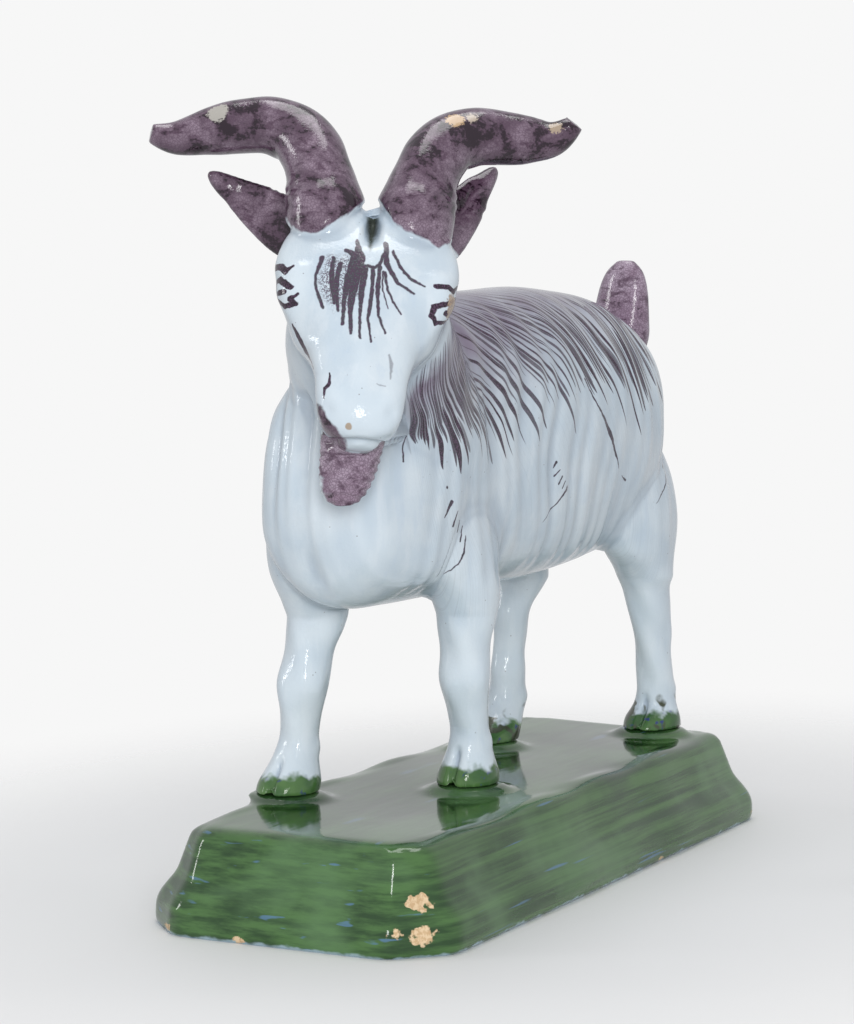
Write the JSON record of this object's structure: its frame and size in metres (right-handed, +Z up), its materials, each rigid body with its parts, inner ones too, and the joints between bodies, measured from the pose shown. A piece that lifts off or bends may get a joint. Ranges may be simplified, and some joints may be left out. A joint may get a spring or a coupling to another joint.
{
  "type": "ceramic goat figure",
  "caption": "Tin-glazed earthenware goat with painted coat, upswept horns and a beard, standing on a green-glazed rectangular plinth with cut corners",
  "frame": {"origin": "middle of the plinth's foot rim, on the table", "axes": "+Z up, the goat faces -Y along the plinth's length, its own left side is +X"},
  "size_m": [0.0743, 0.163, 0.1554],
  "materials": {
    "white_glaze": "glossy pale blue-white tin glaze over earthenware",
    "manganese_glaze": "glossy tin glaze sponged with manganese purple",
    "green_glaze": "glossy brushed copper-green glaze over tin glaze"
  },
  "bodies": {
    "root": {"plinth": "green_glaze", "trunk_left": "white_glaze", "trunk_right": "white_glaze", "head": "white_glaze", "horn_left": "manganese_glaze", "horn_right": "manganese_glaze", "ear_left": "manganese_glaze", "ear_right": "manganese_glaze", "beard": "manganese_glaze", "tail": "manganese_glaze", "foreleg_left": "white_glaze", "foreleg_right": "white_glaze", "hindleg_left": "white_glaze", "hindleg_right": "white_glaze"}
  },
  "joints": []
}
